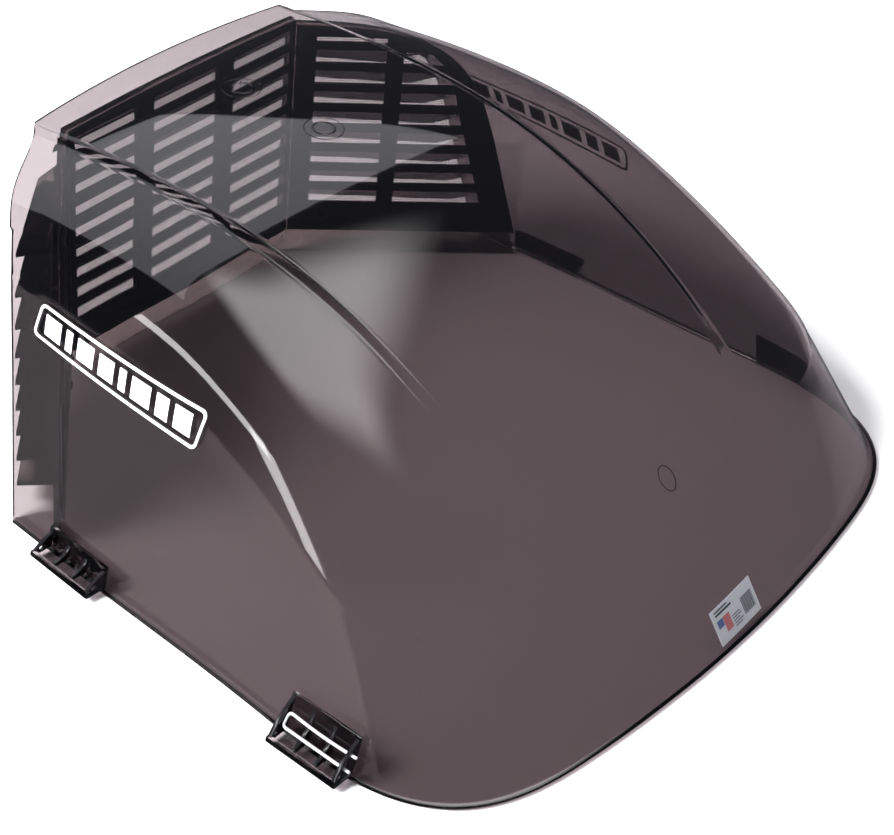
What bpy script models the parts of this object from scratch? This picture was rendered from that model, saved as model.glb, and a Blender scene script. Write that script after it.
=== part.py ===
"""Roof vent cover for a 14 in RV roof vent.

A smoke-tinted hood whose nose points to -Y and whose louvred rear points to +Y.
+Z is up and the bottom rim lies at Z = 0. Dimensions below are millimetres and are
turned into metres when vertices are written.
"""
import math

import bmesh
import bpy
import numpy as np
from mathutils import Matrix, Vector

# ---------------------------------------------------------------- driving dimensions (mm)
LENGTH = 496.0          # nose to the rear edge of the roof overhang
MID_Y = LENGTH / 2      # the origin lies half way along
WALL = 3.0              # hood wall
LIP_OUT = 4.0           # rim lip beyond the skirt
CROWN = 3.0             # arch of the roof between its two ridges
STEP_OUT = 9.0          # width of the step on the outer side of each ridge
STEP_DOWN = 3.6         # height of that step

FACET_Y = 483.0         # datum plane of the central louvred facet, from the nose
CORNER_X = 111.0        # half width of the central facet
SIDE_ANGLE = 45.0       # the side facets turn forward by this much
SIDE_SUM = FACET_Y + CORNER_X      # x + y on the side facet
SET = 10.0              # the louvre panels stand this far inside those planes
CORNER = CORNER_X - SET * math.tan(math.radians(SIDE_ANGLE / 2))   # half width of the central panel
SET_SUM = SIDE_SUM - SET * math.sqrt(2)
OVER_SIDE = 24.0        # how far the side walls run past the side facets, along Y

PITCH = 16.0            # louvre spacing
ROW_Z = 45.0            # sill of the lowest screen opening
ROWS = 9
ROW_H = 10.0            # height of one screen opening
BLADE_T = 3.0           # height of a blade's cut end
BLADE_OUT = 5.0         # tips of the central blades
BLADE_FALL = 1.38       # how far a central blade falls for each millimetre it runs outwards
SIDE_OUT = (12.5, 23.5) # tips of the side blades at the corner and beside the wall
SIDE_FALL = 0.95
PANEL_IN, PANEL_OUT = -3.6, 0.0    # louvre panel, measured outward from its plane
MESH_IN, MESH_OUT = -4.7, -4.1     # insect mesh
FRAME_IN, FRAME_OUT = -7.0, -5.0   # screen frame
SCREEN_X = 103.6        # the screens part at this half width, in a plane along Y
GAP = 0.35              # play between neighbouring pieces

CLIP_LEN = 51.0
CLIP_OUT = 16.0         # reach of a clip housing beyond the skirt
CLIP_RIBS = 4
PIN_HOLE = 4.2
WIRE = 1.9              # diameter of the wire bail

# stations of the hood, measured from the nose: (y, value)
ROOF_Z = ((61.5, 76.0), (80.0, 93.0), (110.0, 115.5), (150.0, 141.0), (200.0, 167.0), (250.0, 185.0),
          (300.0, 195.2), (350.0, 199.1), (400.0, 198.4), (450.0, 194.7), (483.0, 190.8), (500.0, 188.6))
RIDGE_X = ((61.5, 84.0), (80.0, 91.5), (100.0, 98.0), (125.0, 103.5), (160.0, 106.3), (220.0, 107.0),
           (320.0, 107.8), (400.0, 108.8), (483.0, 111.0), (500.0, 111.4))
CREASE_X = ((95.0, 200.0), (100.0, 204.3), (110.0, 210.5), (130.0, 216.0), (161.0, 218.8), (200.0, 218.6), (250.0, 217.6),
            (300.0, 216.0), (350.0, 213.2), (384.0, 210.5), (420.0, 208.0))
CREASE_Z = ((95.0, 78.0), (130.0, 80.5), (161.0, 83.5), (200.0, 87.5), (250.0, 91.8), (300.0, 94.6),
            (350.0, 96.4), (384.0, 97.0), (420.0, 97.0))
# outer edge of the rim lip, from the nose round to the rear: (x, y)
RIM = ((0.0, 0.0), (43.0, 0.9), (75.0, 2.8), (108.0, 5.6), (129.0, 8.0), (151.0, 11.0), (175.0, 15.8),
       (199.0, 24.2), (219.0, 37.0), (234.0, 54.5), (243.5, 75.5), (248.0, 98.0), (249.0, 121.0),
       (247.6, 145.0), (245.4, 170.0), (242.8, 205.0), (240.4, 250.0), (238.2, 300.0), (235.6, 340.0),
       (233.2, 370.0), (231.4, 400.0))

ROWS_T = 22             # grid of the hood: rows from the facet plane to the nose
COLS_TOP = 4
COLS_STEP = 2
COLS_SIDE = 8
ROWS_SKIRT = 3


# ---------------------------------------------------------------- curves
def spline(stations):
    """Natural cubic through the stations, as a function of a scalar or an array."""
    x = np.array([s[0] for s in stations], float)
    y = np.array([s[1] for s in stations], float)
    n = len(x)
    h = np.diff(x)
    a = np.zeros((n, n))
    b = np.zeros(n)
    a[0, 0] = a[-1, -1] = 1.0
    for i in range(1, n - 1):
        a[i, i - 1], a[i, i], a[i, i + 1] = h[i - 1], 2 * (h[i - 1] + h[i]), h[i]
        b[i] = 6 * ((y[i + 1] - y[i]) / h[i] - (y[i] - y[i - 1]) / h[i - 1])
    m = np.linalg.solve(a, b)

    def value(q):
        q = np.asarray(q, float)
        k = np.clip(np.searchsorted(x, q) - 1, 0, n - 2)
        t = q - x[k]
        s = (y[k + 1] - y[k]) / h[k] - h[k] * (2 * m[k] + m[k + 1]) / 6
        return y[k] + s * t + m[k] * t * t / 2 + (m[k + 1] - m[k]) * t ** 3 / (6 * h[k])

    return value


roof_z = spline(ROOF_Z)
ridge_x = spline(RIDGE_X)
crease_x = spline(CREASE_X)
crease_z = spline(CREASE_Z)


def smooth(lo, hi, value):
    t = min(max((value - lo) / (hi - lo), 0.0), 1.0)
    return t * t * (3 - 2 * t)


def dense(points, count):
    """The stations of a plane curve as a smooth curve of many points."""
    p = np.array(points, float)
    s = np.concatenate([[0], np.cumsum(np.hypot(*np.diff(p, axis=0).T))])
    fx, fy = spline(list(zip(s, p[:, 0]))), spline(list(zip(s, p[:, 1])))
    q = np.linspace(0, s[-1], count)
    return np.stack([fx(q), fy(q)], 1)


def inset(curve, by):
    """A curve moved towards its left-hand side seen from above, for the rim curve that is inwards."""
    d = np.gradient(curve, axis=0)
    d /= np.hypot(d[:, 0], d[:, 1])[:, None]
    d[0] = (1.0, 0.0)
    return curve + by * np.stack([-d[:, 1], d[:, 0]], 1)


def half_rim(count):
    """The rim from the middle of the nose to the rear, level across the middle."""
    both = [(-x, y) for x, y in RIM[3:0:-1]] + list(RIM)
    curve = dense(both, count)
    return np.vstack([[0.0, 0.0], curve[curve[:, 0] > 0.4]])


RIM_CURVE = half_rim(700)
BASE_CURVE = inset(RIM_CURVE, LIP_OUT)
BASE_CURVE[:, 0] = np.maximum(BASE_CURVE[:, 0], 0.0)


def cut_at(curve, total):
    """The curve up to where x + y reaches total."""
    k = int(np.argmax(curve.sum(1) >= total))
    a, b = curve[k - 1], curve[k]
    f = (total - a.sum()) / (b.sum() - a.sum())
    return np.vstack([curve[:k], a + f * (b - a)])


def along(curve, share):
    s = np.concatenate([[0], np.cumsum(np.hypot(*np.diff(curve, axis=0).T))])
    return np.array([np.interp(share * s[-1], s, curve[:, 0]), np.interp(share * s[-1], s, curve[:, 1])])


# ---------------------------------------------------------------- the hood's outer surface
def row_lines(t):
    """Centre, ridge and crease points of the row at t: 0 is the facet plane, 1 the nose crease."""
    yc = FACET_Y + (57.0 - FACET_Y) * t
    yr = FACET_Y + (61.5 - FACET_Y) * t
    yk = (SIDE_SUM - 210.5) + (95.0 - (SIDE_SUM - 210.5)) * t
    zr = float(roof_z(yr))
    xr = float(ridge_x(yr))
    centre = np.array([0.0, yc, zr + CROWN * (1 - t ** 3) - 2.0 * t ** 6])
    ridge = np.array([xr, yr, zr])
    crease = np.array([float(crease_x(yk)), yk, float(crease_z(yk))])
    return centre, ridge, crease


def top_point(t, v):
    """Between the centre line (v 0) and the ridge (v 1)."""
    centre, ridge, _ = row_lines(t)
    p = centre + (ridge - centre) * v * v
    p[0] = ridge[0] * v
    return p


def step_fade(t):
    """The step of the ridge dies out towards the nose: 1 where it is whole, 0 where it is gone."""
    return 1 - smooth(0.80, 0.93, t)


def step_foot(t):
    """Foot of the ridge's step; where the step has died out it lies on the slope of the top."""
    centre, ridge, crease = row_lines(t)
    fade = step_fade(t)
    slope = 2 * (ridge - centre) / ridge[0]
    foot = ridge.copy()
    foot[0] += STEP_OUT
    foot[1] += STEP_OUT * (fade * (crease[1] - ridge[1]) / (crease[0] - ridge[0]) + (1 - fade) * slope[1])
    foot[2] += (1 - fade) * STEP_OUT * slope[2] - fade * STEP_DOWN
    return foot


def side_point(t, q):
    """Between the foot of the ridge's step (q 0) and the crease (q 1): a shoulder that is squarer towards the rear.

    Where the step has died out the side leaves the ridge along the top's own slope.
    """
    foot = step_foot(t)
    centre, ridge, crease = row_lines(t)
    dx, dz = crease[0] - foot[0], crease[2] - foot[2]
    front = smooth(0.35, 1.0, t)
    gone = 1 - step_fade(t)
    slope = 2 * (ridge - centre) / ridge[0]
    x1 = foot[0] + dx * (0.62 - 0.10 * front)
    z1 = foot[2] + (1 - gone) * dz * 0.05 + gone * slope[2] * (x1 - foot[0])
    x2 = crease[0] - dx * (0.18 - 0.04 * front)
    z2 = crease[2] - dz * 0.88
    b0, b1, b2, b3 = (1 - q) ** 3, 3 * (1 - q) ** 2 * q, 3 * (1 - q) * q * q, q ** 3
    x = b0 * foot[0] + b1 * x1 + b2 * x2 + b3 * crease[0]
    z = b0 * foot[2] + b1 * z1 + b2 * z2 + b3 * crease[2]
    u = (x - foot[0]) / dx
    start = gone * slope[1] * dx
    y = foot[1] + start * u + (crease[1] - foot[1] - start) * u ** (1.0 + 3.9 * front)
    return np.array([x, y, z])


def overhang(x):
    """How far the shell runs past the facet plane along Y, over the half width x."""
    if x <= CORNER_X:
        return 13.0 - 6.0 * (x / CORNER_X) ** 2
    return 7.0 + (OVER_SIDE - 7.0) * smooth(CORNER_X, 172.0, x)


def row_points(t):
    pts = [top_point(t, j / COLS_TOP) for j in range(COLS_TOP + 1)]
    foot = step_foot(t)
    ridge = pts[-1]
    pts += [ridge + (foot - ridge) * (j / COLS_STEP) for j in range(1, COLS_STEP + 1)]
    pts += [side_point(t, j / COLS_SIDE) for j in range(1, COLS_SIDE + 1)]
    return pts


def past_facet(p):
    """A point of the facet row carried out to the rear edge of the overhang."""
    d = overhang(p[0])
    q = p.copy()
    q[1] += d
    q[2] -= 0.12 * d if p[2] > 150 else 0.0
    q[0] -= 0.07 * d if p[0] > 180 else 0.0
    return q


def hood_grid():
    rows = [row_points(i / ROWS_T) for i in range(ROWS_T + 1)]
    rows.insert(0, [past_facet(p) for p in rows[0]])
    return rows


def skirt_lines(rows):
    """The crease from the nose to the rear edge, and the skirt's foot under each of its points."""
    front = rows[-1]
    side = [r[-1] for r in reversed(rows[:-1])]
    crease = front + side
    inner = np.array(crease[:-1])[:, :2]
    s = np.concatenate([[0], np.cumsum(np.hypot(*np.diff(inner, axis=0).T))])
    share = s / s[-1]
    base = cut_at(BASE_CURVE, SIDE_SUM)
    rim = cut_at(RIM_CURVE, SIDE_SUM)
    foot = [along(base, f) for f in share]
    edge = [along(rim, f) for f in share]
    foot.append(along(cut_at(BASE_CURVE, SIDE_SUM + OVER_SIDE), 1.0))
    edge.append(along(cut_at(RIM_CURVE, SIDE_SUM + OVER_SIDE), 1.0))
    return crease, foot, edge


def skirt_point(crease, foot, w):
    p = np.array([crease[0] + (foot[0] - crease[0]) * w, crease[1] + (foot[1] - crease[1]) * w,
                  crease[2] + (WALL - crease[2]) * w])
    return p


# ---------------------------------------------------------------- Blender helpers
def clear_scene():
    for obj in list(bpy.data.objects):
        bpy.data.objects.remove(obj, do_unlink=True)


def make_collection(name, hidden=False):
    col = bpy.data.collections.new(name)
    bpy.context.scene.collection.children.link(col)
    col.hide_render = hidden
    return col


def make_material(name, color, rough, metal=0.0, alpha=1.0):
    mat = bpy.data.materials.new(name)
    mat.use_nodes = True
    shader = mat.node_tree.nodes["Principled BSDF"]
    shader.inputs["Base Color"].default_value = (*color, 1.0)
    shader.inputs["Roughness"].default_value = rough
    shader.inputs["Metallic"].default_value = metal
    shader.inputs["Alpha"].default_value = alpha
    return mat


def place(p):
    return (p[0] / 1000.0, (p[1] - MID_Y) / 1000.0, p[2] / 1000.0)


def add_object(name, mesh, col, mat):
    obj = bpy.data.objects.new(name, mesh)
    col.objects.link(obj)
    if mat:
        mesh.materials.append(mat)
    return obj


def bm_object(name, bm, col, mat, smooth_angle=None):
    bmesh.ops.recalc_face_normals(bm, faces=bm.faces[:])
    if bm.calc_volume(signed=True) < 0:
        bmesh.ops.reverse_faces(bm, faces=bm.faces[:])
    mesh = bpy.data.meshes.new(name)
    bm.to_mesh(mesh)
    bm.free()
    if smooth_angle:
        mesh.shade_smooth()
        mesh.set_sharp_from_angle(angle=math.radians(smooth_angle))
    return add_object(name, mesh, col, mat)


def helper(obj):
    obj.hide_render = True
    obj.display_type = "WIRE"
    return obj


def boolean(obj, other, operation):
    mod = obj.modifiers.new(operation.title(), "BOOLEAN")
    mod.operation = operation
    mod.solver = "EXACT"
    mod.object = other
    return mod


def boolean_set(obj, collection, operation):
    mod = obj.modifiers.new(operation.title(), "BOOLEAN")
    mod.operation = operation
    mod.solver = "EXACT"
    mod.operand_type = "COLLECTION"
    mod.collection = collection
    return mod


def prism(bm, corners_in, corners_out):
    """A closed solid between two matching loops of corners."""
    a = [bm.verts.new(place(p)) for p in corners_in]
    b = [bm.verts.new(place(p)) for p in corners_out]
    n = len(a)
    bm.faces.new(a[::-1])
    bm.faces.new(b)
    for i in range(n):
        j = (i + 1) % n
        bm.faces.new((a[i], a[j], b[j], b[i]))


class Facet:
    """Axes of one louvred facet: s runs along it, n points outwards, z is up."""

    def __init__(self, origin, direction, normal):
        self.o = np.array(origin, float)
        self.d = np.array(direction, float)
        self.n = np.array(normal, float)

    def at(self, s, n, z):
        p = self.o + self.d * s + self.n * n
        return np.array([p[0], p[1], z])


R2 = math.sqrt(0.5)
CENTER = Facet((0.0, FACET_Y - SET), (1.0, 0.0), (0.0, 1.0))
SIDE = {"right": Facet((CORNER, FACET_Y - SET), (R2, -R2), (R2, R2)),
        "left": Facet((-CORNER, FACET_Y - SET), (-R2, -R2), (-R2, R2))}


def on_plane(line, total):
    """Where a line of the hood, a function of t, crosses the plane x + y = total."""
    lo, hi = 0.0, 0.12
    for _ in range(30):
        mid = (lo + hi) / 2
        p = line(mid)
        lo, hi = (mid, hi) if p[0] + p[1] > total else (lo, mid)
    return line((lo + hi) / 2)


def side_profile():
    """Outer outline of the shell in the plane of the right louvre panel as (x, z), from the ridge down to the rim."""
    pts = [on_plane(lambda t, q=j / 24: side_point(t, q), SET_SUM) for j in range(25)]
    foot = cut_at(BASE_CURVE, SET_SUM)[-1]
    pts += [skirt_point(pts[24], foot, w) for w in (0.25, 0.5, 0.75, 1.0)]
    return np.array([(p[0], p[2]) for p in pts])


PROFILE = side_profile()


def inner_profile(clear):
    """The hood's inside at the side panel, less a clearance, as (s, z)."""
    d = np.gradient(PROFILE, axis=0)
    d /= np.hypot(d[:, 0], d[:, 1])[:, None]
    inner = PROFILE + (WALL + clear) * np.stack([d[:, 1], -d[:, 0]], 1)
    return np.stack([(inner[:, 0] - CORNER) / R2, inner[:, 1]], 1)


def profile_s(z, clear):
    """How far out along the side panel the hood's inside lies at height z, less a clearance."""
    line = inner_profile(clear)
    return float(np.interp(z, line[::-1, 1], line[::-1, 0]))


def roof_inside(x, clear):
    """Height of the roof's inner face over the central panel at the half width x."""
    z = top_point(SET / (FACET_Y - 57.0), min(abs(x) / CORNER_X, 1.0))[2]
    return z - WALL - clear


def extruded(name, facet, outline, holes, n0, n1, col, mat):
    """A flat plate with openings: a 2D curve, filled and extruded, stood on the facet."""
    curve = bpy.data.curves.new(name + "_outline", "CURVE")
    curve.dimensions = "2D"
    curve.fill_mode = "BOTH"
    curve.extrude = (n1 - n0) / 2000.0
    for loop in [outline] + holes:
        spl = curve.splines.new("POLY")
        spl.points.add(len(loop) - 1)
        for point, (s, z) in zip(spl.points, loop):
            point.co = (s / 1000.0, z / 1000.0, 0.0, 1.0)
        spl.use_cyclic_u = True
    guide = bpy.data.objects.new(name + "_guide", curve)
    col.objects.link(guide)
    o = place((*(facet.o + facet.n * (n0 + n1) / 2), 0.0))
    d, n = facet.d, facet.n
    frame = Matrix(((d[0], 0, n[0], o[0]), (d[1], 0, n[1], o[1]), (0, 1, 0, 0), (0, 0, 0, 1)))
    guide.matrix_world = frame
    bpy.context.view_layer.update()
    graph = bpy.context.evaluated_depsgraph_get()
    mesh = bpy.data.meshes.new_from_object(guide.evaluated_get(graph))
    bm = bmesh.new()
    bm.from_mesh(mesh)
    bpy.data.meshes.remove(mesh)
    bmesh.ops.remove_doubles(bm, verts=bm.verts[:], dist=1e-6)
    bm.transform(frame)
    bpy.data.objects.remove(guide, do_unlink=True)
    bpy.data.curves.remove(curve)
    return bm_object(name, bm, col, mat)


# ---------------------------------------------------------------- openings
CENTER_COLS = ((-99.3, -43.3), (-30.5, 30.5), (43.3, 99.3))
SIDE_COLS = (17.2, 65.2, 77.0)     # first opening from and to, start of the second


def sills():
    return [ROW_Z + PITCH * k for k in range(ROWS)]


def center_holes():
    return [[(a, z), (b, z), (b, z + ROW_H), (a, z + ROW_H)] for z in sills() for a, b in CENTER_COLS]


def side_border(z):
    """Width of the solid border beside the hood's wall: narrower towards the roof."""
    return 19.0 - 9.0 * smooth(110.0, 165.0, z)


def side_holes():
    holes = []
    for z in sills():
        top = min(z + ROW_H, 176.5)
        a, b, c = SIDE_COLS
        holes.append([(a, z), (b, z), (b, top), (a, top)])
        low, high = profile_s(z, 0.0) - side_border(z), profile_s(top, 0.0) - side_border(top)
        if high - c > 6.0:
            holes.append([(c, z), (low, z), (high, top), (c, top)])
    return holes


def center_outline(z0, edge, clear):
    top = [(x, roof_inside(x, clear)) for x in np.linspace(edge, -edge, 13)]
    return [(-edge, z0), (edge, z0)] + top


def side_outline(z0, start, clear, wider=0.0):
    line = [(p[0] + wider, p[1]) for p in inner_profile(clear)[::-1] if p[1] > z0 + 2.0 and p[0] > start + 2.0]
    return [(start, z0), (profile_s(z0, clear) + wider, z0)] + line[::2] + [(start, line[-1][1])]


def circle(s, z, r, count=12):
    return [(s + r * math.cos(2 * math.pi * k / count), z + r * math.sin(2 * math.pi * k / count)) for k in range(count)]


RIVET_Z = 33.0
RIVET_S = {"center": (-60.0, 60.0), "left": (28.0, 53.0), "right": (28.0, 53.0)}
RIVET_R = 1.6


def rivet_holes(name):
    return [circle(s, RIVET_Z, RIVET_R + 0.3) for s in RIVET_S[name]]


# ---------------------------------------------------------------- build
clear_scene()
PARTS = make_collection("roof_vent_cover")
TOOLS = make_collection("cutters", hidden=True)

SMOKE = make_material("smoke_plastic", (0.055, 0.045, 0.047), 0.08, alpha=0.72)
BLACK = make_material("black_plastic", (0.010, 0.011, 0.016), 0.35)
GAUZE = make_material("fibreglass_mesh", (0.035, 0.035, 0.040), 0.7)
STEEL = make_material("spring_steel", (0.75, 0.75, 0.77), 0.2, metal=1.0)
PRINT = make_material("white_print", (0.88, 0.88, 0.88), 0.45)
LABEL = make_material("silver_label", (0.72, 0.73, 0.76), 0.35)

# hood shell: half of the outer skin, mirrored, then given its wall inwards
bm = bmesh.new()
grid = hood_grid()
verts = [[bm.verts.new(place(p)) for p in row] for row in grid]
for r in range(len(grid) - 1):
    for c in range(len(grid[0]) - 1):
        bm.faces.new((verts[r][c], verts[r + 1][c], verts[r + 1][c + 1], verts[r][c + 1]))
crease, foot, edge = skirt_lines(grid)
crease_verts = verts[-1] + [row[-1] for row in reversed(verts[:-1])]
lines = [crease_verts]
for m in range(1, ROWS_SKIRT + 1):
    lines.append([bm.verts.new(place(skirt_point(c, f, m / ROWS_SKIRT))) for c, f in zip(crease, foot)])
lines.append([bm.verts.new(place((e[0], e[1], WALL))) for e in edge])
for a, b in zip(lines, lines[1:]):
    for k in range(len(a) - 1):
        bm.faces.new((a[k], b[k], b[k + 1], a[k + 1]))
bmesh.ops.recalc_face_normals(bm, faces=bm.faces[:])
up = max(bm.faces, key=lambda f: f.calc_center_median().z)
if up.normal.z < 0:
    bmesh.ops.reverse_faces(bm, faces=bm.faces[:])
mesh = bpy.data.meshes.new("hood_shell")
bm.to_mesh(mesh)
bm.free()
mesh.shade_smooth()
mesh.set_sharp_from_angle(angle=math.radians(30))
hood = add_object("hood_shell", mesh, PARTS, SMOKE)
mirror = hood.modifiers.new("Mirror", "MIRROR")
mirror.use_axis = (True, False, False)
mirror.merge_threshold = 0.00005
solid = hood.modifiers.new("Wall", "SOLIDIFY")
solid.thickness = WALL / 1000.0
solid.offset = -1.0
solid.use_even_offset = True


# louvre panels: a border and mullions round tall openings, with steep blades across them
def blade(facet, s0, s1, lean0, lean1, z, tips=(BLADE_OUT, BLADE_OUT), fall=BLADE_FALL):
    """One sloping blade from s0 to s1; each end leans along the facet by lean times the reach."""
    bm = bmesh.new()
    root = PANEL_IN + 0.2

    def section(s, lean, tip):
        a, b, drop = s, s + lean * (tip - root), fall * (tip - root)
        return [facet.at(a, root, z - BLADE_T), facet.at(a, root, z), facet.at(b, tip, z - drop),
                facet.at(b, tip, z - drop - BLADE_T)]

    prism(bm, section(s0, lean0, tips[0]), section(s1, lean1, tips[1]))
    bmesh.ops.triangulate(bm, faces=bm.faces[:])
    return bm


def louvre_panel(name, facet, outline, holes, blades):
    panel = extruded(name, facet, outline, holes, PANEL_IN, PANEL_OUT, PARTS, SMOKE)
    group = bpy.data.collections.new(name + "_blades")
    TOOLS.children.link(group)
    for k, args in enumerate(blades):
        helper(bm_object(f"{name}_blade_{k}", blade(facet, *args), group, None))
    boolean_set(panel, group, "UNION")
    return panel


LOW, HIGH = ROW_Z - 9.0, ROW_Z + PITCH * (ROWS - 1) + ROW_H     # the tall openings
BLADE_Z = [ROW_Z - 4.6 + PITCH * k for k in range(ROWS + 1)]    # top of each blade's root
louvre_panel("louvre_panel_center", CENTER, center_outline(1.0, CORNER - 2.0, 0.6),
             [[(a, LOW), (b, LOW), (b, HIGH), (a, HIGH)] for a, b in ((-100.4, -41.6), (-32.2, 32.2), (41.6, 100.4))],
             [(-103.6, 103.6, -0.38, 0.38, z) for z in BLADE_Z])


def side_window(a, limit):
    """Tall opening from s = a outwards, its outer edge following the hood's wall or ending at a limit."""
    heights = np.linspace(LOW, 176.5, 12)
    edge = [(min(limit, profile_s(z, 0.0) - side_border(z) + 1.5), z) for z in heights]
    edge = [p for p in edge if p[0] > a + 5.0]
    return [(a, LOW)] + edge + [(a, edge[-1][1])]


for side, facet in SIDE.items():
    rows = []
    for z in [b + 1.1 for b in BLADE_Z]:
        end = min(profile_s(z + 1.0, 1.8), profile_s(z - 16.0, 1.8))
        if end > 40.0 and z + 1.0 < inner_profile(1.6)[:, 1].max():
            rows.append((3.0, end, -0.10, -1.08, z, SIDE_OUT, SIDE_FALL))
    louvre_panel(f"louvre_panel_{side}", facet, side_outline(1.0, 1.5, 0.8), [side_window(16.4, 66.8), side_window(75.4, 400.0)],
                 rows)


# insect screens: frame with openings, the gauze against its outer face, and two rivets that hold them together
def axis_empty(name, at):
    """Marks the joint of a moving group; the group's pieces hang from it."""
    obj = bpy.data.objects.new(name, None)
    PARTS.objects.link(obj)
    obj.empty_display_size = 0.02
    obj.location = place(at)
    bpy.context.view_layer.update()
    return obj


def hang(obj, empty):
    obj.parent = empty
    obj.matrix_parent_inverse = empty.matrix_world.inverted()


def rivet(name, facet, s):
    """Half a rivet's outline, turned about the rivet's own axis; its head is on the inside."""
    outline = [(0.0, -3.95), (RIVET_R, -3.95), (RIVET_R, FRAME_IN - 0.3), (2.9, FRAME_IN - 0.3), (2.7, FRAME_IN - 1.2),
               (1.6, FRAME_IN - 1.7), (0.0, FRAME_IN - 1.7)]
    mesh = bpy.data.meshes.new(name)
    mesh.from_pydata([(r / 1000.0, 0.0, n / 1000.0) for r, n in outline], [(k, k + 1) for k in range(len(outline) - 1)], [])
    obj = add_object(name, mesh, PARTS, BLACK)
    o = place((*(facet.o + facet.d * s), RIVET_Z))
    n = facet.n
    obj.matrix_world = Matrix(((-n[1], 0, n[0], o[0]), (n[0], 0, n[1], o[1]), (0, 1, 0, o[2]), (0, 0, 0, 1)))
    turn = obj.modifiers.new("Turn", "SCREW")
    turn.steps = turn.render_steps = 16
    turn.use_merge_vertices = True
    turn.merge_threshold = 0.00001
    turn.use_normal_calculate = True
    turn.use_normal_flip = True
    return obj


START = 3.1     # where a side frame starts, so that its inner face parts from the central one at SCREEN_X
for name, facet, outline, holes in (
        ("center", CENTER, center_outline(21.0, SCREEN_X, 1.4), center_holes()),
        ("left", SIDE["left"], side_outline(21.0, START, 1.6, 4.5), side_holes()),
        ("right", SIDE["right"], side_outline(21.0, START, 1.6, 4.5), side_holes())):
    middle = facet.at(0.0 if name == "center" else 80.0, FRAME_IN, 100.0)
    pull = axis_empty(f"screen_{name}_pull", middle)
    hang(extruded(f"screen_frame_{name}", facet, outline, holes + rivet_holes(name), FRAME_IN, FRAME_OUT, PARTS, BLACK), pull)
    if name == "center":
        cloth = [(-101.5, 27.0), (101.5, 27.0), (101.5, 185.0), (-101.5, 185.0)]
    else:
        edge = [(p[0] + 2.0, p[1]) for p in inner_profile(3.0)[::-2] if p[1] > 30.0 and p[0] > 20.0]
        cloth = [(9.0, 27.0), (profile_s(27.0, 3.0), 27.0)] + edge + [(9.0, edge[-1][1])]
    hang(extruded(f"insect_mesh_{name}", facet, cloth, rivet_holes(name), MESH_IN, MESH_OUT, PARTS, GAUZE), pull)
    for k, s in enumerate(RIVET_S[name]):
        hang(rivet(f"screen_rivet_{name}_{k + 1}", facet, s), pull)


# clip housings: back plate, floor and outer bar in one profile, with four ribs
def skirt_slope(y):
    """How fast the skirt's outside goes in as it rises, near the distance y from the nose."""
    k = int(np.argmin(np.abs(BASE_CURVE[:, 1] - y) + (BASE_CURVE[:, 0] < 200) * 1e6))
    return (BASE_CURVE[k, 0] - float(crease_x(y))) / (float(crease_z(y)) - WALL)


class ClipFrame:
    """w points away from the skirt, u runs along the rim towards the rear, z is up."""

    def __init__(self, y0, side):
        sel = BASE_CURVE[(BASE_CURVE[:, 0] > 200) & (BASE_CURVE[:, 1] > y0) & (BASE_CURVE[:, 1] < y0 + CLIP_LEN)]
        t = (sel[-1] - sel[0]) / np.hypot(*(sel[-1] - sel[0]))
        w = np.array([t[1], -t[0]])
        reach = ((sel - sel[0]) @ w).max()
        o = sel[0] + w * reach
        self.side = side
        m = np.array([side, 1.0])
        self.o, self.t, self.w = o * m, t * m, w * m
        self.slope = min(skirt_slope(y0 + f * CLIP_LEN) for f in (0.0, 0.5, 1.0)) - 0.02

    def facet(self):
        return Facet(self.o, self.w, self.t)

    def at(self, u, w, z):
        p = self.o + self.t * u + self.w * w
        return np.array([p[0], p[1], z])


PIN_AT = {True: (10.6, 8.4), False: (9.4, 7.8)}    # bracket pin hole in the end ribs of the front and rear housings
LEG_LOW, LEG_HIGH = np.array((6.6, 12.4)), np.array((1.2, 19.6))     # where the wire's two legs run, (w, z)
END_RIB = 2.4


def clip_body(height, slope):
    k, z0 = slope, WALL + GAP
    back = lambda z: GAP + 0.1 - k * (z - WALL)
    w = CLIP_OUT
    bar = [(w - 1.7 + 1.7 * math.cos(a), 6.4 + 1.7 * math.sin(a)) for a in np.radians((0, 45, 90, 135, 180))]
    return ([(back(z0), z0), (w - 1.0, z0), (w, z0 + 0.9)] + bar
            + [(w - 3.4, 5.4), (back(5.4) + 2.2, 5.4), (back(height) + 1.8, height), (back(height), height)])


def clip_rib(height, slope, end, slot):
    """A rib as (w, z): the end ribs stand proud of the wire, the middle ones are hollowed out under it."""
    k = slope
    back = lambda z: GAP + 0.1 - k * (z - WALL)
    top = np.array((back(height - 2) + 1.4, height - 1.2))
    low = np.array((CLIP_OUT - 1.0, 7.2))
    turn = np.array((10.4, 17.0)) if end else np.array((3.4, 7.6))
    if end and not slot:
        turn = np.array((8.4, 13.0))
    curve = [tuple((1 - q) ** 2 * low + 2 * q * (1 - q) * turn + q * q * top) for q in np.linspace(0, 1, 8)]
    return [(back(4.6) + 1.0, 4.6), (CLIP_OUT - 1.0, 4.6)] + curve


def wire_slot():
    """The slot in the front rib that the bail slides through."""
    d = (LEG_HIGH - LEG_LOW) / np.linalg.norm(LEG_HIGH - LEG_LOW)
    across = np.array((-d[1], d[0]))
    r = WIRE / 2 + 0.45
    ends = []
    for centre, sign in ((LEG_LOW, 1.0), (LEG_HIGH, -1.0)):
        for a in np.radians(np.arange(0, 181, 30)):
            ends.append(tuple(centre + r * sign * (across * math.cos(a) - d * math.sin(a))))
    return ends


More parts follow.
